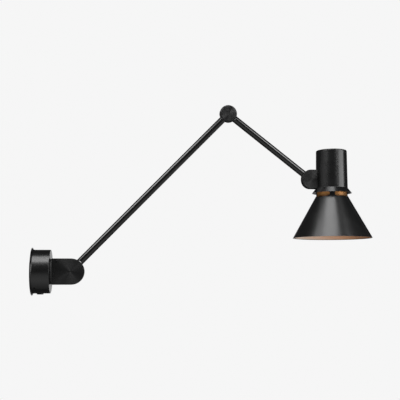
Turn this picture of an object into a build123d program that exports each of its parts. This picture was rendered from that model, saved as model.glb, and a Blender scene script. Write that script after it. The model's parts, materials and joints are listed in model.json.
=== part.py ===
"""Articulating wall lamp: wall mount, two-tube jointed arm and a conical shade on a slotted neck.

Millimetres. The origin is the middle of the wall plate's back face, +X points away from the
wall, +Z is up. The arm lies in the XZ plane and its joint pins run along Y.
"""
from build123d import *
from math import cos, degrees, radians, sin, sqrt
import os

# ---------------------------------------------------------------- fits and clearances
thread_gap = 0.1          # radial room round every screw, nut and plug
seat_gap = 0.05           # between parts that are clamped face to face
running_gap = 0.05        # radial room of a pin or stem that turns in its bore
turn_gap = 0.1            # between flat faces that turn on each other
swing_gap = 0.4           # between a tube end and the fork nose it swings round

# ---------------------------------------------------------------- wall mount
drum_r = 40.0
drum_depth = 34.0
cover_wall = 1.8
cover_front = 2.5
cover_edge = 0.8
flare_r = 3.8             # hollow curve between drum and flange
flange_thick = 0.8
plate_thick = 2.0
plate_rim_height = 12.0
plate_fit = 0.3           # radial room between plate rim and cover
fixing_spacing = 50.0
fixing_slot_length = 10.0
fixing_slot_width = 5.0
cable_hole_r = 8.0
grub_r = 2.0
grub_x = 7.5
grub_below_level = 49.0   # the two cover screws sit this far below the horizontal
block_length = 30.0
block_height = 14.0
block_depth = 13.0
block_middle_z = 22.0
terminal_pitch = 9.0
terminal_r = 2.2
block_screw_r = 1.5

# ---------------------------------------------------------------- push switch under the drum
button_r = 6.1
button_x = 15.4
button_proud = 1.8
button_dome = 1.1
button_travel = 1.2
button_side_gap = 0.2
button_cap = 3.6          # height of the sliding cap
switch_spigot_wall = 0.9
switch_width = 18.0
switch_height = 15.0
switch_side_room = 1.0    # the plate's rim is cut away this much wider than the switch

# ---------------------------------------------------------------- swivel
ring_r = 23.4
ring_thick = 2.5
ring_edge = 0.5
sleeve_r = 7.0
stem_r = 5.0
stem_bore_r = 3.4
stem_in_fork = 12.0
stop_washer_r = 13.0
stop_washer_thick = 1.5
stop_pin_circle = 18.0
stop_pin_r = 1.5
stop_pin_length = 6.5
stop_tab_width = 5.0
spring_washer_thick = 0.9
spring_washer_r = 9.0
stem_nut_flats = 15.0
stem_nut_thick = 4.0
stem_tail = 3.0           # thread that stands past the nut

# ---------------------------------------------------------------- the three fork joints
tongue_thick = 4.4
washer_thick = 0.6
bar_width = 12.6
eye_r = 9.0
pin_r = 3.0
pin_head_r = 5.2
pin_head_height = 2.2
pin_socket_flats = 4.0
wire_channel = 2.6        # room for the leads between an eye and its slot floor
wire_window_width = 5.0
wire_bore_r = 2.6
fork_edge = 0.8

shoulder_x = 69.35
nose_offset = 1.7         # the nose arc is struck this far beyond the pin
nose_r = 24.1
shoulder_depth = 16.0
shoulder_skin = 1.2       # metal left over the blind pin hole
fork_grub_x = 46.0
cheek_pin_r = 2.0         # the rounded pin that shows on the near cheek
cheek_pin_x = 44.6
cheek_pin_rise = 18.6
cheek_pin_depth = 7.0
cheek_pin_dome = 0.8

elbow_r = 16.6
elbow_depth = 11.0
elbow_edge = 3.0
elbow_skin = 0.8
elbow_web_half_angle = 24.0

head_fork_half = 18.3     # half of the fork's height
head_fork_rise = 0.65     # middle of that height above the pin
head_fork_ahead = 17.8    # nose of the fork in front of the pin
head_nose_r = 17.1        # its two rounded corners
head_fork_depth = 14.0
head_skin = 1.0
head_eye_r = 6.3
head_pin_r = 2.5
head_channel = 2.0

# ---------------------------------------------------------------- arms
tube_r = 6.5
tube_wall = 1.25
lower_length = 421.0
lower_angle = 45.62
upper_length = 202.3
upper_angle = -38.05
plug_length = 22.0
end_gap = 0.3             # between a round fork and the tube end hollowed to fit round it

# ---------------------------------------------------------------- head
pin_to_head_axis = 41.15
head_top_above_pin = 56.7
head_top_r = 29.4
head_foot_r = 30.25
head_foot_below_pin = 16.2
head_top_edge = 2.0
head_wall = 1.2
head_roof = 1.5
skirt_r = 37.8
skirt_height = 9.5
neck_r = 29.8
neck_roof_height = 11.9   # neck roof above the top of the cone
neck_edge = 1.0
shade_wall = 1.2
cone_top_r = 30.7
cone_top_below_skirt = 6.5
shade_rim_r = 75.3
cone_height = 79.7
halo_count = 4
halo_height = 9.2
halo_drop = 0.9           # the slots run this far below the top of the cone
halo_post_angle = 18.0
halo_turn = 13.5          # one post is turned this far from the front towards the wall
liner_thick = 0.6
liner_gap = 0.1
liner_rim_setback = 0.8
holder_r = 19.6
holder_flange_r = 22.5
holder_flange = 2.0
holder_drop = 19.0        # holder mouth below its flange
holder_bore_r = 15.0
holder_floor_rise = 8.0
holder_top_rise = 28.0
holder_cap_r = 8.5
holder_shoulder = 13.0
shell_r = 13.6
shell_wall = 1.3
shell_setback = 4.0
contact_r = 4.0
contact_height = 2.0
ring_nut_r = 24.5
ring_nut_height = 4.4
ring_nut_notches = 8
ring_nut_notch_r = 1.6
nipple_grip = 7.0
bracket_thick = 1.5
bracket_width = 16.0
bracket_rise = 42.0       # bracket top above the holder flange
bracket_foot_below_pin = 13.5
nipple_tail = 3.0
nipple_nut_flats = 14.0
nipple_nut_thick = 3.5
fork_screw_r = 2.0
fork_screw_pitch = 20.0
fork_screw_head_r = 3.4
fork_screw_head = 1.8

# ---------------------------------------------------------------- worked-out places
cover_inner_r = drum_r - cover_wall
cover_inner_x = drum_depth - cover_front
plate_r = cover_inner_r - plate_fit
fork_back_x = drum_depth + ring_thick + turn_gap
spigot_r = button_r + button_side_gap + switch_spigot_wall
down = Plane(origin=(button_x, 0, 0), x_dir=(1, 0, 0), z_dir=(0, 0, -1))
slot_width = tongue_thick + 2 * washer_thick + 2 * turn_gap
shoulder_floor_x = shoulder_x - eye_r - wire_channel
shoulder_cope_r = nose_r + nose_offset + swing_gap
elbow_cope_r = elbow_r + end_gap
head_corner_x = head_fork_ahead - head_nose_r
head_corner_z = head_fork_half + head_fork_rise - head_nose_r
head_cope_r = sqrt(head_corner_x**2 + head_corner_z**2) + head_nose_r + swing_gap
plug_r = tube_r - tube_wall - thread_gap
hole_r = pin_r + thread_gap


def joint_plane(x, z, angle):
    """Plane of the arm's swing at a pin: local x runs along the arm, the normal is -Y."""
    return Plane(origin=(x, 0, z), x_dir=(cos(radians(angle)), 0, sin(radians(angle))), z_dir=(0, -1, 0))


def cover_screw_plane(side):
    """Plane through the drum's axis, square to one of the two screws that hold the cover."""
    lean = (0, side * cos(radians(grub_below_level)), -sin(radians(grub_below_level)))
    return Plane(origin=(grub_x, 0, 0), x_dir=(1, 0, 0), z_dir=lean)


def end_plane(base, distance):
    """Plane square to the arm, the given distance along local x of a joint plane."""
    place = base.origin + base.x_dir * distance
    return Plane(origin=place, x_dir=(0, 1, 0), z_dir=base.x_dir)


shoulder = joint_plane(shoulder_x, 0, lower_angle)
elbow_x = shoulder_x + lower_length * cos(radians(lower_angle))
elbow_z = lower_length * sin(radians(lower_angle))
elbow_back = joint_plane(elbow_x, elbow_z, lower_angle + 180)
elbow_out = joint_plane(elbow_x, elbow_z, upper_angle)
head_pin_x = elbow_x + upper_length * cos(radians(upper_angle))
head_pin_z = elbow_z + upper_length * sin(radians(upper_angle))
head_back = joint_plane(head_pin_x, head_pin_z, upper_angle + 180)

head_x = head_pin_x + pin_to_head_axis
head_axis = Axis((head_x, 0, 0), (0, 0, 1))
head_top_z = head_pin_z + head_top_above_pin
head_foot_z = head_pin_z - head_foot_below_pin
skirt_z = head_foot_z - skirt_height
cone_top_z = skirt_z - cone_top_below_skirt
rim_z = cone_top_z - cone_height
neck_roof_z = cone_top_z + neck_roof_height
cone_slope = (shade_rim_r - cone_top_r) / cone_height
cone_slant = sqrt(1 + cone_slope**2)
head_profile = Plane(origin=(head_x, 0, 0), x_dir=(1, 0, 0), z_dir=(0, -1, 0))
head_slope = (head_foot_r - head_top_r) / (head_top_z - head_foot_z)
skirt_slope = (skirt_r - head_foot_r) / skirt_height
skirt_slant = sqrt(1 + skirt_slope**2)
head_floor_x = head_pin_x + head_eye_r + head_channel

made = []


def keep(part, name):
    """Label a finished piece and put it on the list to be written."""
    part.part.label = name
    made.append(part.part)


def cone_radius(z, inset):
    """Radius of the shade's cone at a height, set in square to its surface."""
    return cone_top_r + (cone_top_z - z) * cone_slope - inset * cone_slant


def cone_height_at(radius, inset):
    """Height at which the cone, set in by so much, has the given radius."""
    return cone_top_z - (radius - cone_top_r + inset * cone_slant) / cone_slope


def head_radius(z):
    """Outer radius of the tapered head cover at a height."""
    return head_top_r + (head_top_z - z) * head_slope


# ================================================================ wall mount
with BuildPart() as wall_plate:
    with BuildSketch(Plane.YZ):
        Circle(plate_r)
    extrude(amount=plate_rim_height)
    with BuildSketch(Plane.YZ.offset(plate_thick)):
        Circle(plate_r - plate_thick)
    extrude(amount=plate_rim_height, mode=Mode.SUBTRACT)
    with BuildSketch(Plane.YZ):
        Circle(cable_hole_r)
        with GridLocations(fixing_spacing, 0, 2, 1):
            SlotOverall(fixing_slot_length, fixing_slot_width)
        with Locations((0, block_middle_z)):
            Circle(block_screw_r + thread_gap)
    extrude(amount=plate_thick, mode=Mode.SUBTRACT)
    with BuildSketch(Plane.XY.offset(switch_height - cover_inner_r)):
        with Locations((plate_thick, 0)):
            Rectangle(plate_rim_height, switch_width + 2 * switch_side_room, align=(Align.MIN, Align.CENTER))
    extrude(amount=-plate_r, mode=Mode.SUBTRACT)
    for side in (-1, 1):
        with BuildSketch(cover_screw_plane(side)):
            Circle(grub_r + thread_gap)
        extrude(amount=drum_r, mode=Mode.SUBTRACT)
keep(wall_plate, "wall_plate")

with BuildPart() as mount_cover:
    with BuildSketch(Plane.XY):
        with BuildLine():
            Line((0, cover_inner_r), (0, drum_r + flare_r))
            Line((0, drum_r + flare_r), (flange_thick, drum_r + flare_r))
            RadiusArc((flange_thick, drum_r + flare_r), (flange_thick + flare_r, drum_r), -flare_r)
            Line((flange_thick + flare_r, drum_r), (drum_depth, drum_r))
            Line((drum_depth, drum_r), (drum_depth, sleeve_r + thread_gap))
            Line((drum_depth, sleeve_r + thread_gap), (cover_inner_x, sleeve_r + thread_gap))
            Line((cover_inner_x, sleeve_r + thread_gap), (cover_inner_x, cover_inner_r))
            Line((cover_inner_x, cover_inner_r), (0, cover_inner_r))
        make_face()
    revolve(axis=Axis.X)
    outer_edges = mount_cover.faces().sort_by(Axis.X)[-1].edges().sort_by(SortBy.RADIUS)
    fillet(outer_edges[-1], cover_edge)
    with BuildSketch(down):
        Circle(spigot_r + thread_gap)
    extrude(amount=drum_r + flare_r, mode=Mode.SUBTRACT)
    for side in (-1, 1):
        with BuildSketch(cover_screw_plane(side)):
            Circle(grub_r + thread_gap)
        extrude(amount=drum_r + flare_r, mode=Mode.SUBTRACT)
    with BuildSketch(Plane.YZ.offset(cover_inner_x)):
        with Locations((0, -stop_pin_circle)):
            Circle(stop_pin_r + thread_gap)
    extrude(amount=cover_front - cover_edge, mode=Mode.SUBTRACT)
keep(mount_cover, "mount_cover")

with BuildPart() as cover_grub_screws:
    for side in (-1, 1):
        level = cover_screw_plane(side)
        with BuildSketch(level.offset(plate_r - plate_thick)):
            Circle(grub_r)
        extrude(amount=drum_r - plate_r + plate_thick)
        with BuildSketch(level.offset(drum_r)):
            RegularPolygon(grub_r / 2, 6)
        extrude(amount=-grub_r, mode=Mode.SUBTRACT)
keep(cover_grub_screws, "cover_grub_screws")

with BuildPart() as terminal_block:
    with BuildSketch(Plane.YZ.offset(plate_thick)):
        with Locations((0, block_middle_z)):
            RectangleRounded(block_length, block_height, terminal_r)
    extrude(amount=block_depth)
    with BuildSketch(Plane.YZ.offset(plate_thick + block_depth)):
        with Locations((0, block_middle_z)):
            with GridLocations(2 * terminal_pitch, 0, 2, 1):
                Circle(terminal_r + thread_gap)
    extrude(amount=-block_depth / 2, mode=Mode.SUBTRACT)
    with BuildSketch(Plane.YZ.offset(plate_thick)):
        with Locations((0, block_middle_z)):
            Circle(block_screw_r + thread_gap)
    extrude(amount=block_depth, mode=Mode.SUBTRACT)
    with BuildSketch(Plane.XY.offset(block_middle_z)):
        with Locations((plate_thick + block_depth / 4, 0)):
            with GridLocations(0, 2 * terminal_pitch, 1, 2):
                Circle(terminal_r / 2)
    extrude(amount=block_height, both=True, mode=Mode.SUBTRACT)
keep(terminal_block, "terminal_block")

with BuildPart() as terminal_screws:
    screw_depth = block_depth / 2 - seat_gap
    with BuildSketch(Plane.YZ.offset(plate_thick + block_depth - screw_depth)):
        with Locations((0, block_middle_z)):
            with GridLocations(2 * terminal_pitch, 0, 2, 1):
                Circle(terminal_r)
    extrude(amount=screw_depth - terminal_r)
    with BuildSketch(Plane.YZ.offset(plate_thick + block_depth - terminal_r)):
        with Locations((0, block_middle_z)):
            with GridLocations(2 * terminal_pitch, 0, 2, 1):
                Rectangle(2 * terminal_r, terminal_r / 3)
    extrude(amount=-terminal_r / 2, mode=Mode.SUBTRACT)
keep(terminal_screws, "terminal_screws")

with BuildPart() as block_screw:
    with BuildSketch(Plane.YZ):
        with Locations((0, block_middle_z)):
            Circle(block_screw_r)
    extrude(amount=plate_thick + block_depth + seat_gap)
    with BuildSketch(Plane.YZ.offset(plate_thick + block_depth + seat_gap)):
        with Locations((0, block_middle_z)):
            Circle(2 * block_screw_r)
    extrude(amount=block_screw_r)
    with BuildSketch(Plane.YZ.offset(plate_thick + block_depth + seat_gap + block_screw_r)):
        with Locations((0, block_middle_z)):
            Rectangle(4 * block_screw_r, block_screw_r / 2)
    extrude(amount=-block_screw_r / 2, mode=Mode.SUBTRACT)
keep(block_screw, "block_screw")

# ================================================================ push switch
cap_back = drum_r + button_proud - button_cap
cap_floor = cap_back - button_travel - button_side_gap

with BuildPart() as switch_body:
    with BuildSketch(down.offset(cover_inner_r - switch_height)):
        RectangleRounded(switch_width, switch_width, fork_edge)
    extrude(amount=switch_height)
    with BuildSketch(Plane.YZ):
        Circle(drum_r + switch_height)
        Circle(cover_inner_r - seat_gap, mode=Mode.SUBTRACT)
    extrude(amount=drum_depth, mode=Mode.SUBTRACT)
    with BuildSketch(down.offset(cover_inner_r - cover_wall)):
        Circle(spigot_r)
    extrude(amount=2 * cover_wall)
    with BuildSketch(Plane.YZ):
        Circle(drum_r + switch_height)
        Circle(drum_r, mode=Mode.SUBTRACT)
    extrude(amount=drum_depth, mode=Mode.SUBTRACT)
    with BuildSketch(down.offset(cap_floor)):
        Circle(button_r + button_side_gap)
    extrude(amount=drum_r - cap_floor, mode=Mode.SUBTRACT)
    with BuildSketch(down.offset(cover_inner_r - switch_height)):
        with GridLocations(0, switch_width / 2, 1, 2):
            Rectangle(switch_width / 3, washer_thick)
    extrude(amount=-switch_height / 3)
keep(switch_body, "switch_body")

with BuildPart() as switch_button:
    with BuildSketch(down.offset(cap_back)):
        Circle(button_r)
    extrude(amount=button_cap)
    fillet(switch_button.faces().sort_by(Axis.Z)[0].edges(), button_dome)
keep(switch_button, "switch_button")

# ================================================================ swivel between drum and fork
with BuildPart() as swivel_ring:
    with BuildSketch(Plane.YZ.offset(drum_depth)):
        Circle(ring_r)
    extrude(amount=ring_thick)
    fillet(swivel_ring.edges().filter_by(GeomType.CIRCLE), ring_edge)
    with BuildSketch(Plane.YZ.offset(cover_inner_x)):
        Circle(sleeve_r)
    extrude(amount=cover_front + ring_edge)
    with BuildSketch(Plane.YZ.offset(cover_inner_x)):
        Circle(stem_r + running_gap)
    extrude(amount=cover_front + ring_thick, mode=Mode.SUBTRACT)
keep(swivel_ring, "swivel_ring")

with BuildPart() as stop_pin:
    with BuildSketch(Plane.YZ.offset(drum_depth - cover_edge - seat_gap)):
        with Locations((0, -stop_pin_circle)):
            Circle(stop_pin_r)
    extrude(amount=-stop_pin_length)
keep(stop_pin, "stop_pin")

stop_washer_x = cover_inner_x - turn_gap - stop_washer_thick
spring_washer_x = stop_washer_x - seat_gap - spring_washer_thick
stem_nut_x = spring_washer_x - seat_gap - stem_nut_thick
stem_back_x = stem_nut_x - stem_tail

with BuildPart() as swivel_stem:
    with BuildSketch(Plane.YZ.offset(stem_back_x)):
        Circle(stem_r)
        Circle(stem_bore_r, mode=Mode.SUBTRACT)
    extrude(amount=fork_back_x + stem_in_fork - stem_back_x)
    chamfer(swivel_stem.edges().filter_by(GeomType.CIRCLE).group_by(SortBy.RADIUS)[-1], fork_edge / 2)
keep(swivel_stem, "swivel_stem")

with BuildPart() as stop_washer:
    with BuildSketch(Plane.YZ.offset(stop_washer_x)):
        Circle(stop_washer_r)
        with Locations((0, (stop_pin_circle + stop_pin_r) / 2)):
            Rectangle(stop_tab_width, stop_pin_circle + stop_pin_r)
        Circle(stem_r + thread_gap, mode=Mode.SUBTRACT)
    extrude(amount=stop_washer_thick)
keep(stop_washer, "stop_washer")

with BuildPart() as spring_washer:
    with BuildSketch(Plane.YZ.offset(spring_washer_x)):
        Circle(spring_washer_r)
        Circle(stem_r + thread_gap, mode=Mode.SUBTRACT)
    extrude(amount=spring_washer_thick)
keep(spring_washer, "spring_washer")

with BuildPart() as stem_nut:
    with BuildSketch(Plane.YZ.offset(stem_nut_x)):
        RegularPolygon(stem_nut_flats / 2, 6, major_radius=False)
        Circle(stem_r + thread_gap, mode=Mode.SUBTRACT)
    extrude(amount=stem_nut_thick)
keep(stem_nut, "stem_nut")

# ================================================================ wall fork
nose_x = shoulder_x + nose_offset
cheek_pin_place = (cheek_pin_x, -shoulder_depth / 2, cheek_pin_rise)
near_cheek = Plane(origin=cheek_pin_place, x_dir=(1, 0, 0), z_dir=(0, -1, 0))
with BuildPart() as wall_fork:
    with BuildSketch(Plane.XZ):
        with BuildLine():
            Line((fork_back_x, -nose_r), (nose_x, -nose_r))
            ThreePointArc((nose_x, -nose_r), (nose_x + nose_r, 0), (nose_x, nose_r))
            Line((nose_x, nose_r), (fork_back_x, nose_r))
            Line((fork_back_x, nose_r), (fork_back_x, -nose_r))
        make_face()
    extrude(amount=shoulder_depth / 2, both=True)
    cheek_faces = wall_fork.faces().sort_by(Axis.Y)
    fillet(cheek_faces[0].edges() + cheek_faces[-1].edges(), fork_edge)
    with BuildSketch(Plane.XZ):
        with Locations((shoulder_floor_x, 0)):
            Rectangle(2 * nose_r, 3 * nose_r, align=(Align.MIN, Align.CENTER))
    extrude(amount=slot_width / 2, both=True, mode=Mode.SUBTRACT)
    with BuildSketch(Plane.YZ.offset(fork_back_x)):
        Circle(stem_r + thread_gap)
    extrude(amount=stem_in_fork + thread_gap, mode=Mode.SUBTRACT)
    with BuildSketch(Plane.YZ.offset(fork_back_x)):
        Circle(stem_bore_r)
    extrude(amount=shoulder_floor_x - fork_back_x, mode=Mode.SUBTRACT)
    with BuildSketch(Plane.XY.offset(-nose_r)):
        with Locations((fork_grub_x, 0)):
            Circle(grub_r + thread_gap)
    extrude(amount=nose_r - stem_r, mode=Mode.SUBTRACT)
    with BuildSketch(near_cheek):
        Circle(cheek_pin_r + thread_gap)
    extrude(amount=-cheek_pin_depth, mode=Mode.SUBTRACT)
    with BuildSketch(Plane.XZ.offset(-shoulder_depth / 2)):
        with Locations((shoulder_x, 0)):
            Circle(hole_r)
    extrude(amount=shoulder_depth - shoulder_skin, mode=Mode.SUBTRACT)
keep(wall_fork, "wall_fork")

with BuildPart() as fork_grub_screw:
    with BuildSketch(Plane.XY.offset(-stem_r - seat_gap)):
        with Locations((fork_grub_x, 0)):
            Circle(grub_r)
    extrude(amount=-(nose_r - stem_r - grub_r / 2))
    with BuildSketch(Plane.XY.offset(grub_r / 2 - nose_r)):
        with Locations((fork_grub_x, 0)):
            RegularPolygon(grub_r / 2, 6)
    extrude(amount=2 * grub_r, mode=Mode.SUBTRACT)
keep(fork_grub_screw, "fork_grub_screw")

with BuildPart() as cheek_pin:
    with BuildSketch(near_cheek.offset(cheek_pin_dome)):
        Circle(cheek_pin_r)
    extrude(amount=seat_gap - cheek_pin_dome - cheek_pin_depth)
    fillet(cheek_pin.faces().sort_by(Axis.Y)[0].edges(), cheek_pin_dome)
keep(cheek_pin, "cheek_pin")


def pivot_pin(base, depth, skin, radius, name):
    """Button-head screw that enters from the far cheek and ends blind in the near one."""
    far = base.offset(-depth / 2)
    with BuildPart() as pin:
        with BuildSketch(far.offset(-seat_gap)):
            Circle(radius)
        extrude(amount=depth - skin - seat_gap)
        with BuildSketch(far.offset(-seat_gap)):
            Circle(pin_head_r)
        extrude(amount=-pin_head_height)
        fillet(pin.faces().sort_by(Axis.Y)[-1].edges(), pin_head_height / 2)
        with BuildSketch(far.offset(-seat_gap - pin_head_height)):
            RegularPolygon(pin_socket_flats / 2, 6, major_radius=False)
        extrude(amount=pin_head_height - fork_edge, mode=Mode.SUBTRACT)
    keep(pin, name)


def friction_washers(base, radius, bore, name):
    """Two thin washers on the inner faces of a fork, one each side of the tongue."""
    with BuildPart() as washers:
        for side in (-1, 1):
            with BuildSketch(base.offset(side * slot_width / 2)):
                Circle(radius)
                Circle(bore + thread_gap, mode=Mode.SUBTRACT)
            extrude(amount=-side * washer_thick)
    keep(washers, name)


def tongue(base, cope_r, eye, bore, name):
    """Flat eye and bar that turn in a fork, with a round plug that is pressed into the arm tube."""
    plug = end_plane(base, cope_r - tube_r / 2)
    with BuildPart() as piece:
        with BuildSketch(plug):
            Circle(plug_r)
        extrude(amount=plug_length + tube_r / 2)
        with BuildSketch(base):
            Circle(cope_r)
        extrude(amount=tube_r, both=True, mode=Mode.SUBTRACT)
        with BuildSketch(base):
            Rectangle(cope_r + tube_r, bar_width, align=(Align.MIN, Align.CENTER))
            Circle(cope_r, mode=Mode.INTERSECT)
            Rectangle(cope_r + tube_r / 2, plug_r, align=(Align.MIN, Align.CENTER))
            Circle(eye)
        extrude(amount=tongue_thick / 2, both=True)
        with BuildSketch(base):
            Circle(bore + running_gap)
            with Locations((eye + wire_channel, 0)):
                Rectangle(cope_r - eye - wire_channel, wire_window_width, align=(Align.MIN, Align.CENTER))
        extrude(amount=tongue_thick, both=True, mode=Mode.SUBTRACT)
        with BuildSketch(plug):
            Circle(wire_bore_r)
        extrude(amount=plug_length + tube_r / 2, mode=Mode.SUBTRACT)
    keep(piece, name)


def arm_tube(base, length, near_cope, far_cope, name):
    """Round tube whose two ends are hollowed to the curve of the joints they meet."""
    far_pin = Plane(origin=base.origin + base.x_dir * length, x_dir=base.x_dir, z_dir=base.z_dir)
    with BuildPart() as tube:
        with BuildSketch(end_plane(base, near_cope - tube_r / 2)):
            Circle(tube_r)
            Circle(tube_r - tube_wall, mode=Mode.SUBTRACT)
        extrude(amount=length - near_cope - far_cope + tube_r)
        with BuildSketch(base):
            Circle(near_cope)
        extrude(amount=tube_r, both=True, mode=Mode.SUBTRACT)
        with BuildSketch(far_pin):
            Circle(far_cope)
        extrude(amount=tube_r, both=True, mode=Mode.SUBTRACT)
    keep(tube, name)


# ================================================================ shoulder joint and lower arm
pivot_pin(shoulder, shoulder_depth, shoulder_skin, pin_r, "shoulder_bolt")
friction_washers(shoulder, eye_r, pin_r, "shoulder_washers")
tongue(shoulder, shoulder_cope_r, eye_r, pin_r, "shoulder_tongue")
arm_tube(shoulder, lower_length, shoulder_cope_r, elbow_cope_r, "lower_arm_tube")

# ================================================================ elbow joint and upper arm
with BuildPart() as elbow_fork:
    with BuildSketch(elbow_back):
        Circle(elbow_r)
    extrude(amount=elbow_depth / 2, both=True)
    disc_faces = elbow_fork.faces().sort_by(Axis.Y)
    fillet(disc_faces[0].edges() + disc_faces[-1].edges(), elbow_edge)
    with BuildSketch(end_plane(elbow_back, eye_r + wire_channel)):
        Circle(plug_r)
    extrude(amount=elbow_r + plug_length - eye_r - wire_channel)
    with BuildSketch(elbow_back):
        with BuildLine():
            web_reach = 2 * elbow_r
            web_x = web_reach * cos(radians(elbow_web_half_angle))
            web_y = web_reach * sin(radians(elbow_web_half_angle))
            Polyline((0, 0), (web_x, web_y), (web_x, web_reach), (-web_reach, web_reach),
                     (-web_reach, -web_reach), (web_x, -web_reach), (web_x, -web_y), (0, 0))
        make_face()
        Circle(elbow_r + elbow_edge, mode=Mode.INTERSECT)
        Circle(eye_r + wire_channel - seat_gap)
    extrude(amount=slot_width / 2, both=True, mode=Mode.SUBTRACT)
    with BuildSketch(end_plane(elbow_back, 0)):
        Circle(wire_bore_r)
    extrude(amount=elbow_r + 2 * plug_length, mode=Mode.SUBTRACT)
    with BuildSketch(elbow_back.offset(-elbow_depth / 2)):
        Circle(hole_r)
    extrude(amount=elbow_depth - elbow_skin, mode=Mode.SUBTRACT)
keep(elbow_fork, "elbow_fork")

pivot_pin(elbow_back, elbow_depth, elbow_skin, pin_r, "elbow_bolt")
friction_washers(elbow_back, eye_r, pin_r, "elbow_washers")
tongue(elbow_out, elbow_cope_r, eye_r, pin_r, "elbow_tongue")
arm_tube(elbow_out, upper_length, elbow_cope_r, head_cope_r, "upper_arm_tube")
tongue(head_back, head_cope_r, head_eye_r, head_pin_r, "head_tongue")

# ================================================================ head fork
head_pin = joint_plane(head_pin_x, head_pin_z, 0)
with BuildPart() as head_fork:
    with BuildSketch(head_pin) as outline:
        with Locations((-head_fork_ahead, head_fork_rise)):
            Rectangle(head_fork_ahead + pin_to_head_axis, 2 * head_fork_half, align=(Align.MIN, Align.CENTER))
        fillet(outline.vertices().group_by(Axis.X)[0], head_nose_r)
    extrude(amount=head_fork_depth / 2, both=True)
    boss_faces = head_fork.faces().sort_by(Axis.Y)
    fillet(boss_faces[0].edges() + boss_faces[-1].edges(), fork_edge)
    with BuildSketch(head_profile):
        with BuildLine():
            Polyline((0, skirt_z), (skirt_r + seat_gap * skirt_slant, skirt_z),
                     (head_foot_r + seat_gap, head_foot_z), (head_top_r + seat_gap, head_top_z),
                     (0, head_top_z), (0, skirt_z))
        make_face()
    revolve(axis=head_axis, mode=Mode.SUBTRACT)
    with BuildSketch(head_pin):
        with Locations((head_eye_r + head_channel, 0)):
            Rectangle(2 * head_fork_ahead, 3 * head_fork_half, align=(Align.MAX, Align.CENTER))
    extrude(amount=slot_width / 2, both=True, mode=Mode.SUBTRACT)
    with BuildSketch(head_pin.offset(-head_fork_depth / 2)):
        Circle(head_pin_r + thread_gap)
    extrude(amount=head_fork_depth - head_skin, mode=Mode.SUBTRACT)
    with BuildSketch(Plane.YZ.offset(head_floor_x)):
        with Locations((0, head_pin_z)):
            Circle(wire_bore_r)
            with GridLocations(0, fork_screw_pitch, 1, 2):
                Circle(fork_screw_r + thread_gap)
    extrude(amount=pin_to_head_axis, mode=Mode.SUBTRACT)
keep(head_fork, "head_fork")

pivot_pin(head_pin, head_fork_depth, head_skin, head_pin_r, "head_bolt")
friction_washers(head_pin, head_eye_r, head_pin_r, "head_washers")

# ================================================================ head cover with flared skirt
with BuildPart() as head_cover:
    with BuildSketch(head_profile):
        with BuildLine():
            Line((0, head_top_z), (head_top_r - head_top_edge, head_top_z))
            RadiusArc((head_top_r - head_top_edge, head_top_z), (head_top_r, head_top_z - head_top_edge),
                      head_top_edge)
            Polyline((head_top_r, head_top_z - head_top_edge), (head_foot_r, head_foot_z),
                     (skirt_r, skirt_z), (skirt_r - head_wall * skirt_slant, skirt_z),
                     (head_foot_r - head_wall, head_foot_z), (head_top_r - head_wall, head_top_z - head_roof),
                     (0, head_top_z - head_roof), (0, head_top_z))
        make_face()
    revolve(axis=head_axis)
    with BuildSketch(Plane.YZ.offset(head_floor_x)):
        with Locations((0, head_pin_z)):
            Circle(wire_bore_r)
            with GridLocations(0, fork_screw_pitch, 1, 2):
                Circle(fork_screw_r + thread_gap)
    extrude(amount=head_foot_r / 2, mode=Mode.SUBTRACT)
keep(head_cover, "head_cover")

# ================================================================ shade: slotted neck and cone
neck_inner_r = neck_r - shade_wall
neck_hole_r = holder_r + thread_gap
with BuildPart() as shade:
    with BuildSketch(head_profile):
        with BuildLine():
            Line((neck_hole_r, neck_roof_z), (neck_r - neck_edge, neck_roof_z))
            RadiusArc((neck_r - neck_edge, neck_roof_z), (neck_r, neck_roof_z - neck_edge), neck_edge)
            Polyline((neck_r, neck_roof_z - neck_edge), (neck_r, cone_top_z), (cone_top_r, cone_top_z),
                     (shade_rim_r, rim_z), (cone_radius(rim_z, shade_wall), rim_z),
                     (neck_inner_r, cone_height_at(neck_inner_r, shade_wall)),
                     (neck_inner_r, neck_roof_z - shade_wall), (neck_hole_r, neck_roof_z - shade_wall),
                     (neck_hole_r, neck_roof_z))
        make_face()
    revolve(axis=head_axis)
    slot_middle_z = cone_top_z - halo_drop + halo_height / 2
    slot_end_r = halo_height / 2
    slot_sweep = 360 / halo_count - halo_post_angle - 2 * degrees(slot_end_r / neck_r)
    for number in range(halo_count):
        post_angle = -90 - halo_turn + number * 360 / halo_count
        slot_start = post_angle + halo_post_angle / 2 + degrees(slot_end_r / neck_r)
        for spot in (slot_start, slot_start + slot_sweep):
            outward = (cos(radians(spot)), sin(radians(spot)), 0)
            with BuildSketch(Plane(origin=(head_x, 0, slot_middle_z), x_dir=(0, 0, 1), z_dir=outward)
                             .offset(holder_flange_r)):
                Circle(slot_end_r)
            extrude(amount=skirt_r - holder_flange_r, mode=Mode.SUBTRACT)
        slot_x = (cos(radians(slot_start)), sin(radians(slot_start)), 0)
        slot_z = (sin(radians(slot_start)), -cos(radians(slot_start)), 0)
        with BuildSketch(Plane(origin=(head_x, 0, 0), x_dir=slot_x, z_dir=slot_z)):
            with Locations((neck_r, slot_middle_z)):
                Rectangle(skirt_r - holder_flange_r, halo_height)
        revolve(axis=head_axis, revolution_arc=slot_sweep, mode=Mode.SUBTRACT)
keep(shade, "shade")

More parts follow.
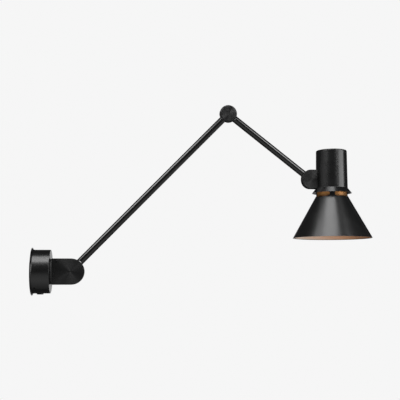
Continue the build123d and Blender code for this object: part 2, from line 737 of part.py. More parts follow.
# ================================================================ copper-coloured reflector
liner_outer = shade_wall + liner_gap
liner_inner = liner_outer + liner_thick
liner_neck_r = neck_inner_r - liner_gap
liner_roof_z = neck_roof_z - liner_outer
liner_rim_z = rim_z + liner_rim_setback
with BuildPart() as reflector:
    with BuildSketch(head_profile):
        with BuildLine():
            Polyline((neck_hole_r, liner_roof_z), (liner_neck_r, liner_roof_z),
                     (liner_neck_r, cone_height_at(liner_neck_r, liner_outer)),
                     (cone_radius(liner_rim_z, liner_outer), liner_rim_z),
                     (cone_radius(liner_rim_z, liner_inner), liner_rim_z),
                     (liner_neck_r - liner_thick, cone_height_at(liner_neck_r - liner_thick, liner_inner)),
                     (liner_neck_r - liner_thick, liner_roof_z - liner_thick),
                     (neck_hole_r, liner_roof_z - liner_thick), (neck_hole_r, liner_roof_z))
        make_face()
    revolve(axis=head_axis)
keep(reflector, "reflector")

# ================================================================ lampholder and what carries it
flange_z = neck_roof_z + seat_gap
mouth_z = flange_z - holder_drop
floor_z = flange_z + holder_floor_rise
holder_top_z = flange_z + holder_top_rise
with BuildPart() as lampholder:
    with BuildSketch(head_profile):
        with BuildLine():
            Polyline((holder_bore_r, mouth_z), (holder_r, mouth_z), (holder_r, flange_z),
                     (holder_flange_r, flange_z), (holder_flange_r, flange_z + holder_flange),
                     (holder_r, flange_z + holder_flange), (holder_r, flange_z + holder_shoulder))
            RadiusArc((holder_r, flange_z + holder_shoulder), (holder_cap_r, holder_top_z - holder_flange),
                      -holder_r)
            Polyline((holder_cap_r, holder_top_z - holder_flange), (holder_cap_r, holder_top_z),
                     (stem_r + thread_gap, holder_top_z), (stem_r + thread_gap, holder_top_z - nipple_grip),
                     (stem_bore_r, holder_top_z - nipple_grip), (stem_bore_r, floor_z),
                     (holder_bore_r, floor_z), (holder_bore_r, mouth_z))
        make_face()
    revolve(axis=head_axis)
keep(lampholder, "lampholder")

shell_outer_r = shell_r + shell_wall
with BuildPart() as socket_shell:
    with BuildSketch(Plane.XY.offset(mouth_z + shell_setback)):
        with Locations((head_x, 0)):
            Circle(shell_outer_r)
            Circle(shell_r, mode=Mode.SUBTRACT)
    extrude(amount=floor_z - contact_height - 2 * seat_gap - mouth_z - shell_setback)
keep(socket_shell, "socket_shell")

with BuildPart() as centre_contact:
    with BuildSketch(Plane.XY.offset(floor_z - seat_gap)):
        with Locations((head_x, 0)):
            Circle(contact_r)
    extrude(amount=-contact_height)
    fillet(centre_contact.faces().sort_by(Axis.Z)[0].edges(), contact_height / 2)
keep(centre_contact, "centre_contact")

with BuildPart() as shade_ring:
    with BuildSketch(Plane.XY.offset(liner_roof_z - liner_thick - seat_gap)):
        with Locations((head_x, 0)):
            Circle(ring_nut_r)
            Circle(neck_hole_r, mode=Mode.SUBTRACT)
            with PolarLocations(ring_nut_r, ring_nut_notches):
                Circle(ring_nut_notch_r, mode=Mode.SUBTRACT)
    extrude(amount=-ring_nut_height)
keep(shade_ring, "shade_ring")

bracket_top_z = flange_z + bracket_rise
bracket_foot_z = head_pin_z - bracket_foot_below_pin
bracket_inset = head_wall + seat_gap
with BuildPart() as holder_bracket:
    with BuildSketch(head_profile):
        with BuildLine():
            Polyline((head_radius(bracket_foot_z) - bracket_inset, bracket_foot_z),
                     (head_radius(bracket_top_z) - bracket_inset, bracket_top_z),
                     (head_radius(bracket_top_z) - bracket_inset - bracket_thick, bracket_top_z),
                     (head_radius(bracket_foot_z) - bracket_inset - bracket_thick, bracket_foot_z),
                     (head_radius(bracket_foot_z) - bracket_inset, bracket_foot_z))
        make_face()
    revolve(axis=head_axis)
    with BuildSketch(Plane.XY.offset(bracket_top_z - bracket_thick)):
        with Locations((head_x, 0)):
            Circle(head_radius(bracket_top_z) - bracket_inset - bracket_thick / 2)
    extrude(amount=bracket_thick)
    with BuildSketch(Plane.XY.offset(bracket_foot_z)):
        with Locations((head_x + bracket_width / 2, 0)):
            Rectangle(2 * head_foot_r, bracket_width, align=(Align.MAX, Align.CENTER))
    extrude(amount=bracket_top_z - bracket_foot_z, mode=Mode.INTERSECT)
    with BuildSketch(Plane.XY.offset(bracket_top_z)):
        with Locations((head_x, 0)):
            Circle(stem_r + thread_gap)
    extrude(amount=-bracket_thick, mode=Mode.SUBTRACT)
    with BuildSketch(Plane.YZ.offset(head_x)):
        with Locations((0, head_pin_z)):
            Circle(wire_bore_r)
            with GridLocations(0, fork_screw_pitch, 1, 2):
                Circle(fork_screw_r + thread_gap)
    extrude(amount=-head_foot_r, mode=Mode.SUBTRACT)
keep(holder_bracket, "holder_bracket")

nipple_foot_z = holder_top_z - nipple_grip + seat_gap
nipple_top_z = bracket_top_z + seat_gap + nipple_nut_thick + nipple_tail
with BuildPart() as holder_nipple:
    with BuildSketch(Plane.XY.offset(nipple_foot_z)):
        with Locations((head_x, 0)):
            Circle(stem_r)
            Circle(stem_bore_r, mode=Mode.SUBTRACT)
    extrude(amount=nipple_top_z - nipple_foot_z)
keep(holder_nipple, "holder_nipple")

with BuildPart() as holder_nuts:
    for foot_z in (bracket_top_z + seat_gap, bracket_top_z - bracket_thick - seat_gap - nipple_nut_thick):
        with BuildSketch(Plane.XY.offset(foot_z)):
            with Locations((head_x, 0)):
                RegularPolygon(nipple_nut_flats / 2, 6, major_radius=False)
                Circle(stem_r + thread_gap, mode=Mode.SUBTRACT)
        extrude(amount=nipple_nut_thick)
keep(holder_nuts, "holder_nuts")

with BuildPart() as head_fork_screws:
    for side in (-1, 1):
        screw_z = head_pin_z + side * fork_screw_pitch / 2
        bracket_inner_r = head_radius(screw_z) - bracket_inset - bracket_thick
        head_seat = sqrt(bracket_inner_r**2 - fork_screw_head_r**2) - seat_gap
        with BuildSketch(Plane.YZ.offset(head_floor_x + fork_screw_r / 2)):
            with Locations((0, screw_z)):
                Circle(fork_screw_r)
        extrude(amount=head_x - head_seat - head_floor_x - fork_screw_r / 2)
        with BuildSketch(Plane.YZ.offset(head_x - head_seat)):
            with Locations((0, screw_z)):
                Circle(fork_screw_head_r)
        extrude(amount=fork_screw_head)
        with BuildSketch(Plane.YZ.offset(head_x - head_seat + fork_screw_head)):
            with Locations((0, screw_z)):
                RegularPolygon(fork_screw_r / 2, 6)
        extrude(amount=-fork_screw_head / 2, mode=Mode.SUBTRACT)
keep(head_fork_screws, "head_fork_screws")

os.makedirs("parts", exist_ok=True)
for solid in made:
    export_step(solid, f"parts/{solid.label}.step")
print(len(made), "pieces; shoulder", shoulder_x, "elbow", round(elbow_x, 3), round(elbow_z, 3),
      "head pin", round(head_pin_x, 3), round(head_pin_z, 3), "rim", round(rim_z, 3))
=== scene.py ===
"""Looks of the articulating wall lamp: finishes, small threads, studio and camera.

Metres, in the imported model's frame: origin at the middle of the wall plate's back face, +X away
from the wall, +Z up, and the arm in the XZ plane.
"""
import bpy
import json
import math
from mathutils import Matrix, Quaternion, Vector


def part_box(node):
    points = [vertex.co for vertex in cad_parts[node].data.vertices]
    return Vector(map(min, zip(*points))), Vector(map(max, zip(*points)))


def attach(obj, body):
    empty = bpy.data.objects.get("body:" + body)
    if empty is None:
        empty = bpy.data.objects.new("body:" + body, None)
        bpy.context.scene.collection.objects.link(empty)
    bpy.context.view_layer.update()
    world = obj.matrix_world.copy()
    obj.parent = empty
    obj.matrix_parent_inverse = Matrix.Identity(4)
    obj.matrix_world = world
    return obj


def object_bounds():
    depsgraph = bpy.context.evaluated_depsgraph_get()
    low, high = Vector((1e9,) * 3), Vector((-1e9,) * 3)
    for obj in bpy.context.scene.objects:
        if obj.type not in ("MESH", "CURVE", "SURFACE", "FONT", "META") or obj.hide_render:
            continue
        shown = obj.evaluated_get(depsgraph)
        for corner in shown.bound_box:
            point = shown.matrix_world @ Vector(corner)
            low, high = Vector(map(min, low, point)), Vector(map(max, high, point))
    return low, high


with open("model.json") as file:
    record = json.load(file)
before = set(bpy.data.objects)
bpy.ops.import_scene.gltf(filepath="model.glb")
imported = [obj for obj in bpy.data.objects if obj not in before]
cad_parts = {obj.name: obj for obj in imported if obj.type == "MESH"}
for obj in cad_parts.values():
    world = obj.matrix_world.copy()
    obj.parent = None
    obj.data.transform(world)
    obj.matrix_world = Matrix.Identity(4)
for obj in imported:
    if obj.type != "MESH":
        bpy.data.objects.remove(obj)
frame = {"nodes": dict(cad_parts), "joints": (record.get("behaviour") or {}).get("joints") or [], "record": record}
cad_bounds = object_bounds()
MM = 0.001
ALONG_X = (1, 0, 0)
ALONG_Y = (0, 1, 0)
ALONG_Z = (0, 0, 1)


# ---------------------------------------------------------------- places read from the frame
def middle(node):
    """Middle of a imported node's box."""
    low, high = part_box(node)
    return (Vector(low) + Vector(high)) / 2


def joint_place(name):
    """Where a joint's axis passes, in metres."""
    for joint in frame["joints"]:
        if joint["name"] == name:
            return Vector(joint["pos_m"])
    raise KeyError(name)


SHOULDER = joint_place("shoulder_pivot")
ELBOW = joint_place("elbow_pivot")
HEAD_PIN = joint_place("head_pivot")
HEAD_AXIS = Vector((middle("shade").x, 0, 0))
DRUM_AXIS = Vector((0, 0, 0))


# ---------------------------------------------------------------- node helpers
NOISE_ROUGHNESS = 0.55
BEVEL_SAMPLES = 6
EDGE_SHARPNESS = 3.0                   # how fast an edge's mask reaches 1 as the normal turns
FIRST_COLOUR, SECOND_COLOUR = 6, 7     # the colour inputs of a Mix node
MIXED_COLOUR = 2                       # and its colour output


def rgba(colour):
    """A colour with full alpha."""
    return (*colour, 1)


def scaled(colour, times):
    """A colour made brighter or darker, and no brighter than 1."""
    return tuple(min(1.0, times * channel) for channel in colour)


class Nodes:
    """A node tree while it is being put together."""

    def __init__(self, tree):
        self.tree = tree
        self.tree.nodes.clear()

    def add(self, kind, **settings):
        made = self.tree.nodes.new(kind)
        for key, value in settings.items():
            setattr(made, key, value)
        return made

    def join(self, source, target):
        self.tree.links.new(source, target)

    def feed(self, target, value):
        """Link a socket, or set a plain value."""
        if hasattr(value, "is_output"):
            self.join(value, target)
        else:
            target.default_value = value

    def maths(self, operation, first, second=0.0):
        made = self.add("ShaderNodeMath", operation=operation)
        self.feed(made.inputs[0], first)
        self.feed(made.inputs[1], second)
        return made.outputs[0]

    def vector(self, operation, first, second=(0, 0, 0)):
        made = self.add("ShaderNodeVectorMath", operation=operation)
        self.feed(made.inputs[0], first)
        self.feed(made.inputs[1], second)
        return made

    def spread(self, value, low, high, out_low=0.0, out_high=1.0, curve="LINEAR"):
        """Map one range of a value onto another, clamped."""
        made = self.add("ShaderNodeMapRange", interpolation_type=curve)
        for socket, number in zip(made.inputs, (value, low, high, out_low, out_high)):
            self.feed(socket, number)
        return made.outputs[0]

    def either(self, factor, first, second):
        """The first shader where the factor is 0, and the second where it is 1."""
        made = self.add("ShaderNodeMixShader")
        for socket, source in zip(made.inputs, (factor, first, second)):
            self.join(source, socket)
        return made.outputs[0]


class Shader(Nodes):
    """A node material while it is being put together."""

    def __init__(self, name):
        self.material = bpy.data.materials.new(name)
        self.material.use_nodes = True
        super().__init__(self.material.node_tree)
        self.surface = self.add("ShaderNodeBsdfPrincipled")
        self.output = self.add("ShaderNodeOutputMaterial")
        self.join(self.surface.outputs["BSDF"], self.output.inputs["Surface"])
        self.place = self.add("ShaderNodeTexCoord").outputs["Object"]

    def set(self, **values):
        """Link or set inputs of the surface, named with _ for a space."""
        for key, value in values.items():
            self.feed(self.surface.inputs[key.replace("_", " ")], value)

    def normal(self):
        return self.add("ShaderNodeNewGeometry").outputs["Normal"]

    def coordinates(self):
        """The place split into X, Y and Z."""
        made = self.add("ShaderNodeSeparateXYZ")
        self.join(self.place, made.inputs[0])
        return made.outputs

    def noise(self, scale, detail):
        made = self.add("ShaderNodeTexNoise")
        self.join(self.place, made.inputs["Vector"])
        made.inputs["Scale"].default_value = scale
        made.inputs["Detail"].default_value = detail
        made.inputs["Roughness"].default_value = NOISE_ROUGHNESS
        return made.outputs["Fac"]

    def mix(self, factor, first, second):
        made = self.add("ShaderNodeMix", data_type="RGBA")
        self.feed(made.inputs[0], factor)
        self.feed(made.inputs[FIRST_COLOUR], first)
        self.feed(made.inputs[SECOND_COLOUR], second)
        return made.outputs[MIXED_COLOUR]

    def edges(self, radius):
        """Rounded normal at the edges, and a mask that is 1 on them."""
        bevel = self.add("ShaderNodeBevel", samples=BEVEL_SAMPLES)
        bevel.inputs["Radius"].default_value = radius
        dot = self.vector("DOT_PRODUCT", bevel.outputs[0], self.normal()).outputs["Value"]
        mask = self.maths("MULTIPLY", self.maths("SUBTRACT", 1.0, dot), EDGE_SHARPNESS)
        return bevel.outputs[0], self.maths("MINIMUM", mask, 1.0)

    def bump(self, height, distance, normal=None):
        made = self.add("ShaderNodeBump")
        made.inputs["Strength"].default_value = 1.0
        made.inputs["Distance"].default_value = distance
        self.join(height, made.inputs["Height"])
        if normal is not None:
            self.join(normal, made.inputs["Normal"])
        return made.outputs[0]

    def ring_place(self, centre, axis):
        """Distance from an axis, and the direction round it in world space."""
        offset = self.vector("SUBTRACT", self.place, tuple(centre)).outputs[0]
        keep = tuple(1.0 - abs(c) for c in axis)
        flat = self.vector("MULTIPLY", offset, keep).outputs[0]
        length = self.vector("LENGTH", flat).outputs["Value"]
        around = self.vector("CROSS_PRODUCT", tuple(axis), flat).outputs[0]
        turn = self.add("ShaderNodeVectorTransform", vector_type="VECTOR",
                        convert_from="OBJECT", convert_to="WORLD")
        self.join(around, turn.inputs[0])
        return length, self.vector("NORMALIZE", turn.outputs[0]).outputs[0]

    def pull_across(self, around, pull):
        """Marks that run round an axis, and so scatter light across themselves."""
        quarter_turn = 0.25
        self.set(Tangent=around)
        self.surface.inputs["Anisotropic"].default_value = pull
        self.surface.inputs["Anisotropic Rotation"].default_value = quarter_turn


# ---------------------------------------------------------------- kinds of finish
# A noise's values mostly lie between 0.3 and 0.75. Below a span an effect is off, above it full.
# A noise's scale is in 1/m, so that 1000 has a patch in about each millimetre.
TONE_SPAN = (0.35, 0.7)
GLOSS_SPAN = (0.3, 0.75)
PATCH_SPAN = (0.42, 0.68)
EVEN_SPAN = (0.3, 0.7)
CRYSTAL_TONE_SPAN = (0.4, 0.85)
CRYSTAL_GLOSS_SPAN = (0.4, 0.9)
BLACK_SWAY = (-0.02, 0.03)             # a roughness sways by this about its middle value
SOFT_SWAY = (-0.05, 0.08)
METAL_SWAY = (-0.06, 0.12)

BLACK = (0.0022, 0.0022, 0.0023)
BLACK_WORN = (0.0036, 0.0036, 0.0038)
BLACK_RUBBED = scaled(BLACK_WORN, 3.2)         # bare edges under the black
BLACK_EDGE = 0.25 * MM
BLACK_BUMP = 0.001 * MM
RUBBED_SHARE = 0.6                     # how much of the rubbed tone an edge shows
RUBBED_MOST = 0.9                      # in its most worn patches


def swaying(s, value, span, roughness, sway):
    """Roughness that a noise sways about its middle value."""
    return s.spread(value, *span, *(roughness + change for change in sway))


def cloudy_black(s, cloud_scale, cloud_share):
    """Clouds, and a black that they lighten."""
    clouds = s.noise(cloud_scale, detail=4.0)
    share = s.spread(clouds, *TONE_SPAN, 0.0, cloud_share)
    return clouds, s.mix(share, rgba(BLACK), rgba(BLACK_WORN))


def rubbed_edges(s, tone, mask, patch_scale, patch_least):
    """A black tone, rubbed brighter in patches along the edges."""
    patches = s.spread(s.noise(patch_scale, detail=5.0), *PATCH_SPAN, patch_least, RUBBED_MOST)
    share = s.maths("MULTIPLY", s.maths("MULTIPLY", mask, patches), RUBBED_SHARE)
    return s.mix(share, tone, rgba(BLACK_RUBBED))


def painted(name, roughness, rubbed=True):
    """Satin paint: a faint orange peel, cloudy gloss and, where it has any, rubbed edges."""
    cloud_scale, cloud_share = 28.0, 0.5
    patch_scale, patch_least = 160.0, 0.1
    peel_scale, coarse_scale, coarse_share = 2600.0, 520.0, 0.6
    s = Shader(name)
    clouds, tone = cloudy_black(s, cloud_scale, cloud_share)
    rounded = None
    if rubbed:
        rounded, mask = s.edges(BLACK_EDGE)
        tone = rubbed_edges(s, tone, mask, patch_scale, patch_least)
    s.set(Base_Color=tone, Roughness=swaying(s, clouds, GLOSS_SPAN, roughness, BLACK_SWAY))
    coarse = s.maths("MULTIPLY", s.noise(coarse_scale, detail=2.0), coarse_share)
    peel = s.maths("ADD", s.noise(peel_scale, detail=2.0), coarse)
    s.set(Normal=s.bump(peel, BLACK_BUMP, rounded))
    return s.material


def turned(name, centre, axis, roughness, pull, dull_rim=0.0):
    """Black finish over fine turning marks round an axis.

    A dull_rim is roughness that is added where a surface doesn't face along the axis.
    """
    ring_turns = 21000.0               # radians in a metre, or a mark in each 0.3 mm
    wander_scale, wander_share = 60.0, 0.6
    cloud_scale, cloud_share = 45.0, 0.6
    patch_scale, patch_least = 180.0, 0.15
    grain_scale, ring_share = 2400.0, 0.35
    side_facing, flat_facing = 0.9, 0.99
    s = Shader(name)
    radius, around = s.ring_place(centre, axis)
    rounded, mask = s.edges(BLACK_EDGE)
    wander = s.maths("MULTIPLY", s.noise(wander_scale, detail=2.0), wander_share)
    rings = s.maths("SINE", s.maths("ADD", s.maths("MULTIPLY", radius, ring_turns), wander))
    clouds, tone = cloudy_black(s, cloud_scale, cloud_share)
    rough = swaying(s, clouds, GLOSS_SPAN, roughness, BLACK_SWAY)
    if dull_rim:
        lean = s.vector("DOT_PRODUCT", s.normal(), axis).outputs["Value"]
        facing = s.maths("ABSOLUTE", lean)
        rough = s.maths("ADD", rough, s.spread(facing, side_facing, flat_facing, dull_rim, 0.0))
    s.set(Base_Color=rubbed_edges(s, tone, mask, patch_scale, patch_least), Roughness=rough)
    s.pull_across(around, pull)
    grain = s.noise(grain_scale, detail=2.0)
    marks = s.maths("ADD", s.maths("MULTIPLY", rings, ring_share), grain)
    s.set(Normal=s.bump(marks, BLACK_BUMP, rounded))
    return s.material


COPPER_PAINTED_LIT_LEFT = (1.0, 0.86, 0.74)        # painted light: the mouth at the wall's side, lit paler
COPPER_PAINTED_SHADED_RIGHT = (0.76, 0.42, 0.24)      # painted shade: the mouth at the far side, less lit and browner
COPPER_INSIDE = (0.80, 0.42, 0.22)     # the copper's own tone, higher up in the cone
COPPER_THROAT_PAINTED_LIT = (1.0, 0.46, 0.14)      # behind the neck's slots, lit brightest just below the skirt as painted light
THROAT_PAINTED_SHADE_RIGHT = 0.3                     # painted shade: the throat's share of brightness at the far side
THROAT_PAINTED_SHADE_BELOW = 0.75                    # and the painted shade that darkens it downwards
PAINTED_LIGHT_SIDE_REACH = 45 * MM                  # reach of the painted change from the lit left to the shaded right
MOUTH_HEIGHT = 0.3                     # share of the lining's height where the mouth's painted light ends
NECK_TOP, NECK_FOOT = 4.5 * MM, 11 * MM        # below the lining's top edge
NECK_FADE = (3 * MM, 1 * MM)           # below the neck's foot


def lining(name, node, centre):
    """Copper-coloured lacquer on a spun reflector, with painted light and shade: the mouth pale at the left and
    brown at the right, the throat deep orange, darker downwards and to the right.
    """
    ring_stretch, ring_scale = 900.0, 3.0
    cloud_scale, cloud_share, ring_share, wear_most = 22.0, 0.6, 0.4, 0.25
    roughness, metal, pull = 0.5, 0.5, 0.5
    bump = 0.02 * MM
    low, high = (corner.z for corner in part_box(node))
    s = Shader(name)
    radius, around = s.ring_place(centre, ALONG_Z)
    across, _, height = s.coordinates()
    noise = s.add("ShaderNodeTexNoise", noise_dimensions="1D")
    s.join(s.maths("MULTIPLY", radius, ring_stretch), noise.inputs["W"])
    noise.inputs["Scale"].default_value = ring_scale
    noise.inputs["Detail"].default_value = 6.0
    rings = noise.outputs["Fac"]

    blend = s.maths("ADD", s.maths("MULTIPLY", s.noise(cloud_scale, detail=5.0), cloud_share),
                    s.maths("MULTIPLY", rings, ring_share))
    wear = s.spread(blend, *TONE_SPAN, 0.0, wear_most)
    # the mouth's painted light gives way to the plain copper further up, with random wear breaking up the change
    rise = s.maths("ADD", s.spread(height, low, low + MOUTH_HEIGHT * (high - low)), wear)
    # painted light: 0 at the lit left of the mouth, 1 at the shaded right
    right = s.spread(across, centre.x - PAINTED_LIGHT_SIDE_REACH, centre.x + PAINTED_LIGHT_SIDE_REACH)
    mouth = s.mix(right, rgba(COPPER_PAINTED_LIT_LEFT), rgba(COPPER_PAINTED_SHADED_RIGHT))
    cone = s.mix(s.maths("MINIMUM", rise, 1.0), mouth, rgba(COPPER_INSIDE))

    # painted light and shade in the throat: lit at the left, shaded at the right, and darker downwards
    throat_painted_lit = s.mix(right, rgba(COPPER_THROAT_PAINTED_LIT), rgba(scaled(COPPER_THROAT_PAINTED_LIT, THROAT_PAINTED_SHADE_RIGHT)))
    deep = s.mix(THROAT_PAINTED_SHADE_BELOW, throat_painted_lit, (0, 0, 0, 1))
    throat = s.mix(s.spread(height, high - NECK_TOP, high - NECK_FOOT), throat_painted_lit, deep)
    in_neck = s.spread(height, *(high - NECK_FOOT - fade for fade in NECK_FADE))
    s.set(Base_Color=s.mix(in_neck, cone, throat),
          Roughness=swaying(s, rings, EVEN_SPAN, roughness, SOFT_SWAY),
          Metallic=metal, Normal=s.bump(rings, bump))
    s.pull_across(around, pull)
    return s.material


def plastic(name, dark, light, roughness):
    """Moulded plastic with a fine spark-eroded grain."""
    edge, edge_share, edge_gain = 0.3 * MM, 0.35, 2
    cloud_scale, grain_scale, bump = 60.0, 1800.0, 0.02 * MM
    s = Shader(name)
    rounded, mask = s.edges(edge)
    clouds = s.noise(cloud_scale, detail=3.0)
    tone = s.mix(s.spread(clouds, *EVEN_SPAN), rgba(dark), rgba(light))
    rubbed = s.maths("MULTIPLY", mask, edge_share)
    s.set(Base_Color=s.mix(rubbed, tone, rgba(scaled(light, edge_gain))),
          Roughness=swaying(s, clouds, GLOSS_SPAN, roughness, SOFT_SWAY),
          Normal=s.bump(s.noise(grain_scale, detail=3.0), bump, rounded))
    return s.material


def plated(name, light, deep, roughness):
    """Plated or oxidised metal: mottled crystals, and edges polished by handling."""
    edge, edge_share, edge_gain = 0.25 * MM, 0.5, 1.5
    crystal_scale, crystal_share = 420.0, 0.35
    cloud_scale, bump = 90.0, 0.015 * MM
    s = Shader(name)
    rounded, mask = s.edges(edge)
    crystals = s.add("ShaderNodeTexVoronoi")
    s.join(s.place, crystals.inputs["Vector"])
    crystals.inputs["Scale"].default_value = crystal_scale
    clouds = s.noise(cloud_scale, detail=5.0)
    blend = s.maths("ADD", s.maths("MULTIPLY", crystals.outputs["Distance"], crystal_share), clouds)
    tone = s.mix(s.spread(blend, *CRYSTAL_TONE_SPAN), rgba(light), rgba(deep))
    rubbed = s.maths("MULTIPLY", mask, edge_share)
    s.set(Base_Color=s.mix(rubbed, tone, rgba(scaled(light, edge_gain))),
          Roughness=swaying(s, blend, CRYSTAL_GLOSS_SPAN, roughness, METAL_SWAY),
          Metallic=1.0, Normal=s.bump(clouds, bump, rounded))
    return s.material


# ---------------------------------------------------------------- the finishes
paint = painted("satin_black_paint", 0.2)
tube_paint = painted("tube_paint", 0.16, rubbed=False)
FINISHES = {
    "mount_cover": turned("drum_paint", DRUM_AXIS, ALONG_X, 0.28, 0.3),
    "wall_fork": turned("wall_fork_finish", SHOULDER, ALONG_Y, 0.34, 0.85, dull_rim=0.3),
    "elbow_fork": turned("elbow_finish", ELBOW, ALONG_Y, 0.34, 0.85, dull_rim=0.3),
    "head_fork": turned("head_fork_finish", HEAD_PIN, ALONG_Y, 0.36, 0.6, dull_rim=0.3),
    "head_cover": turned("head_cover_paint", HEAD_AXIS, ALONG_Z, 0.28, 0.3),
    "shade": turned("shade_paint", HEAD_AXIS, ALONG_Z, 0.3, 0.1),
    "lower_arm_tube": tube_paint,
    "upper_arm_tube": tube_paint,
    "shoulder_tongue": painted("tongue_paint", 0.5),
    "reflector": lining("copper_lining", "reflector", HEAD_AXIS),
}
BY_SLOT = {
    "black_paint": paint,
    "black_aluminium": paint,
    "black_nylon": plastic("black_nylon", (0.006, 0.006, 0.006), (0.010, 0.010, 0.010), 0.6),
    "black_plastic": plastic("black_plastic", (0.006, 0.006, 0.007), (0.010, 0.010, 0.011), 0.35),
    "black_screw": plated("black_oxide", (0.03, 0.03, 0.032), (0.015, 0.015, 0.016), 0.35),
    "zinc_steel": plated("zinc_steel", (0.62, 0.63, 0.64), (0.45, 0.46, 0.48), 0.34),
    "brass": plated("brass", (0.83, 0.62, 0.30), (0.66, 0.46, 0.20), 0.28),
    "white_plastic": plastic("white_plastic", (0.68, 0.68, 0.65), (0.76, 0.76, 0.73), 0.4),
}
SLOT_OF = {entry["node"]: entry["material_slot"] for entry in frame["record"]["subparts"]}

for node_name, held in frame["nodes"].items():
    held.data.materials.clear()
    held.data.materials.append(FINISHES.get(node_name) or BY_SLOT[SLOT_OF[node_name]])


# ---------------------------------------------------------------- threads
RIDGE_SIDES = 8
RIDGE_STEPS = 48                       # in each turn of the thread
RIDGE_TAPER = 12                       # a ridge is full after a twelfth of its way
RIDGE_LEAST = 0.05                     # share of its crest at the very ends
RIDGE_TALL = 1.3                       # its height along the axis over its height outwards


def thread_ridge(name, body, slot, centre, radius, low, high, pitch, crest):
    """A rolled thread: one round ridge that winds up a cylinder and thins out at both ends."""
    steps = int((high - low) / pitch * RIDGE_STEPS)
    points, faces = [], []
    for step in range(steps + 1):
        share = step / steps
        angle = 2 * math.pi * step / RIDGE_STEPS
        fade = min(1.0, RIDGE_TAPER * share, RIDGE_TAPER * (1 - share))
        ridge = crest * max(fade, RIDGE_LEAST)
        out = Vector((math.cos(angle), math.sin(angle), 0))
        spot = Vector((centre.x, centre.y, low + (high - low) * share)) + out * radius
        for side in range(RIDGE_SIDES):
            turn = 2 * math.pi * side / RIDGE_SIDES
            up = Vector((0, 0, RIDGE_TALL * ridge * math.sin(turn)))
            points.append(spot + out * (ridge * math.cos(turn)) + up)
    for step in range(steps):
        for side in range(RIDGE_SIDES):
            near, far = step * RIDGE_SIDES, (step + 1) * RIDGE_SIDES
            following = (side + 1) % RIDGE_SIDES
            faces.append((near + side, near + following, far + following, far + side))
    faces.append(tuple(range(RIDGE_SIDES - 1, -1, -1)))
    faces.append(tuple(steps * RIDGE_SIDES + side for side in range(RIDGE_SIDES)))
    mesh = bpy.data.meshes.new(name)
    mesh.from_pydata([tuple(p) for p in points], [], faces)
    mesh.validate()
    for polygon in mesh.polygons:
        polygon.use_smooth = True
    piece = bpy.data.objects.new(name, mesh)
    bpy.context.scene.collection.objects.link(piece)
    mesh.materials.append(BY_SLOT[slot])
    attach(piece, body)


SHELL_WALL = 1.3 * MM
HOLDER_THREAD_RADIUS = 19.55 * MM
THREAD_START = 1.5 * MM                # above a piece's low end
SHELL_THREAD_END = 2 * MM              # below the shell's top
HOLDER_THREAD_END = 1.0 * MM           # above the shade ring's low side
shell_low, shell_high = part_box("socket_shell")
shell_bore = (shell_high.x - shell_low.x) / 2 - SHELL_WALL
thread_ridge("socket_thread", "head", "brass", HEAD_AXIS, shell_bore,
             shell_low.z + THREAD_START, shell_high.z - SHELL_THREAD_END,
             pitch=3.6 * MM, crest=0.7 * MM)
thread_ridge("holder_thread", "head", "black_plastic", HEAD_AXIS, HOLDER_THREAD_RADIUS,
             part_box("lampholder")[0].z + THREAD_START,
             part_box("shade_ring")[0].z + HOLDER_THREAD_END,
             pitch=2.4 * MM, crest=0.45 * MM)


# ---------------------------------------------------------------- studio
BACKGROUND = (0.921, 0.921, 0.921)     # the photograph's pale grey

FLOOR_DROP = 0.80                      # below the arm when it hangs straight down
FLOOR_RADIUS = 9.0
FLOOR_SIDES = 96
FLOOR_TONE = (0.86, 0.86, 0.86)
FLOOR_ROUGHNESS = 0.9
SHADOW_INNER = 0.75                    # the floor shows its shadow up to here
SHADOW_OUTER = 1.5                     # and is plain background from here on

GROUND_FRONT = 0.84                    # what the lamp's underside mirrors of the floor in front
GROUND_BEHIND = 0.05                   # and of the floor behind it
GROUND_TURN = (0.34, -0.68)            # Y across which the one becomes the other
GROUND_FAR = 0.35                      # share of it that is left far in front
GROUND_FAR_Y = -5.1
GROUND_ASIDE = 0.6                     # a paler patch behind at the right, for the copper
ASIDE_X = (0.83, 1.5)                  # it grows across these
ASIDE_Y = (0.0, 0.5)

ROOM_TONE = (0.8, 0.8, 0.8)
ROOM_SIDE = (-0.8, -0.6, 0.0)          # the dim room is a little lighter at the left front
ROOM_LEAN = (-0.5, 1.0)                # from where a ray leans away to where it points there
ROOM_STRENGTH = (0.05, 0.15)
BACKDROP_SIDE = (0.1, 0.995, 0.0)      # the backdrop stands behind the lamp
BACKDROP_MIDDLE = math.radians(4.0)    # it is mirrored fully up to here
BACKDROP_EDGE = math.radians(15.0)     # and not at all from here on

SOFTBOXES = (                          # name, place, target, width, height, watts, roll
    ("overhead_box", (0.21, -0.70, 1.70), (0.21, -0.30, 0.0), 1.12, 1.14, 26.0, 0.0),
    ("upper_left_box", (-0.635, -0.66, 1.18), (0.217, 0.0, 0.15), 1.0, 0.72, 16.5, -20.0),
    ("upper_right_box", (1.60, -1.53, 1.31), (0.44, 0.0, 0.24), 1.15, 0.66, 20.0, 38.5),
    ("right_box", (1.86, -0.75, 0.32), (0.56, 0.0, 0.16), 1.15, 0.8, 13.0, 0.0),
    ("side_card", (-1.20, -0.40, 0.25), (0.56, -0.40, 0.25), 1.4, 0.6, 1.5, 0.0),
)

CAMERA_PLACE = (0.17187, -1.4023, -0.01024)
CAMERA_UP = 4.36                       # degrees above the level
CAMERA_RIGHT = 5.61                    # degrees to the right of +Y, which runs along the wall
CAMERA_SENSOR = 36.0
CAMERA_LENS = 67.5
CAMERA_SHIFT = 0.05


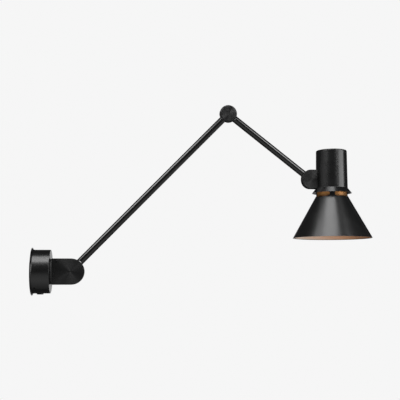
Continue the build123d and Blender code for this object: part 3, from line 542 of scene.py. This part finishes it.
def make_floor():
    """Pale floor well below the lamp, which keeps its soft shadow and fades into the background."""
    middle_x = (cad_bounds[0].x + cad_bounds[1].x) / 2
    bpy.ops.mesh.primitive_circle_add(vertices=FLOOR_SIDES, radius=FLOOR_RADIUS, fill_type="NGON",
                                      location=(middle_x, 0, cad_bounds[0].z - FLOOR_DROP))
    floor = bpy.context.object
    floor.name = "studio_floor"
    s = Shader("studio_floor")
    s.set(Base_Color=rgba(FLOOR_TONE), Roughness=FLOOR_ROUGHNESS)
    glow = s.add("ShaderNodeEmission")
    glow.inputs["Color"].default_value = rgba(BACKGROUND)
    reach = s.vector("LENGTH", s.place).outputs["Value"]
    fade = s.spread(reach, SHADOW_INNER, SHADOW_OUTER)
    shown = s.either(fade, s.surface.outputs[0], glow.outputs[0])

    ground = s.add("ShaderNodeEmission")
    ground.inputs["Color"].default_value = rgba(BACKGROUND)
    x, y, _ = s.coordinates()
    near = s.spread(y, *GROUND_TURN, GROUND_BEHIND, GROUND_FRONT)
    far = s.spread(y, GROUND_TURN[1], GROUND_FAR_Y, 1.0, GROUND_FAR)
    aside = s.maths("MULTIPLY", s.spread(x, *ASIDE_X), s.spread(y, *ASIDE_Y, 0.0, GROUND_ASIDE))
    s.feed(ground.inputs["Strength"], s.maths("ADD", s.maths("MULTIPLY", near, far), aside))

    rays = s.add("ShaderNodeLightPath").outputs
    seen = s.maths("MAXIMUM", rays["Is Camera Ray"], rays["Is Transmission Ray"])
    s.join(s.either(seen, ground.outputs[0], shown), s.output.inputs["Surface"])
    floor.data.materials.append(s.material)


def make_world():
    """Pale backdrop for the camera and behind the lamp, and a dim room everywhere else."""
    world = bpy.data.worlds.new("studio")
    world.use_nodes = True
    bpy.context.scene.world = world
    n = Nodes(world.node_tree)
    way = n.add("ShaderNodeTexCoord").outputs["Generated"]

    def towards(side, start, end, low, high):
        """A value that runs from low to high as a ray's way leans towards one side."""
        lean = n.vector("DOT_PRODUCT", way, side).outputs["Value"]
        return n.spread(lean, start, end, low, high, "SMOOTHSTEP")

    def background(colour, strength):
        made = n.add("ShaderNodeBackground")
        made.inputs["Color"].default_value = rgba(colour)
        n.feed(made.inputs["Strength"], strength)
        return made.outputs[0]

    room = background(ROOM_TONE, towards(ROOM_SIDE, *ROOM_LEAN, *ROOM_STRENGTH))
    backdrop = background(BACKGROUND, 1.0)
    rays = n.add("ShaderNodeLightPath").outputs
    cone = towards(BACKDROP_SIDE, math.cos(BACKDROP_EDGE), math.cos(BACKDROP_MIDDLE), 0.0, 1.0)
    mirrored = n.maths("MULTIPLY", rays["Is Glossy Ray"], cone)
    direct = n.maths("MAXIMUM", rays["Is Camera Ray"], rays["Is Transmission Ray"])
    seen = n.maths("MAXIMUM", direct, mirrored)
    n.join(n.either(seen, room, backdrop), n.add("ShaderNodeOutputWorld").inputs["Surface"])


def softbox(name, place, target, width, height, watts, roll):
    """A rectangular studio light that faces a point, turned by roll degrees about its own axis."""
    lamp = bpy.data.lights.new(name, "AREA")
    lamp.shape = "RECTANGLE"
    lamp.size = width
    lamp.size_y = height
    lamp.energy = watts
    held = bpy.data.objects.new(name, lamp)
    held.location = place
    facing = (Vector(target) - Vector(place)).to_track_quat("-Z", "Y")
    held.rotation_euler = (facing @ Quaternion(ALONG_Z, math.radians(roll))).to_euler()
    held.visible_camera = False
    bpy.context.scene.collection.objects.link(held)


def make_camera():
    """The photograph's view: a long lens level with the drum, turned a little right and up."""
    camera = bpy.data.cameras.new("camera")
    camera.sensor_width = CAMERA_SENSOR
    camera.lens = CAMERA_LENS
    camera.shift_y = CAMERA_SHIFT
    held = bpy.data.objects.new("camera", camera)
    held.location = CAMERA_PLACE
    held.rotation_euler = (math.radians(90 + CAMERA_UP), 0, math.radians(-CAMERA_RIGHT))
    bpy.context.scene.collection.objects.link(held)
    bpy.context.scene.camera = held


make_floor()
make_world()
for box in SOFTBOXES:
    softbox(*box)
make_camera()
bpy.context.scene.view_settings.view_transform = "Standard"
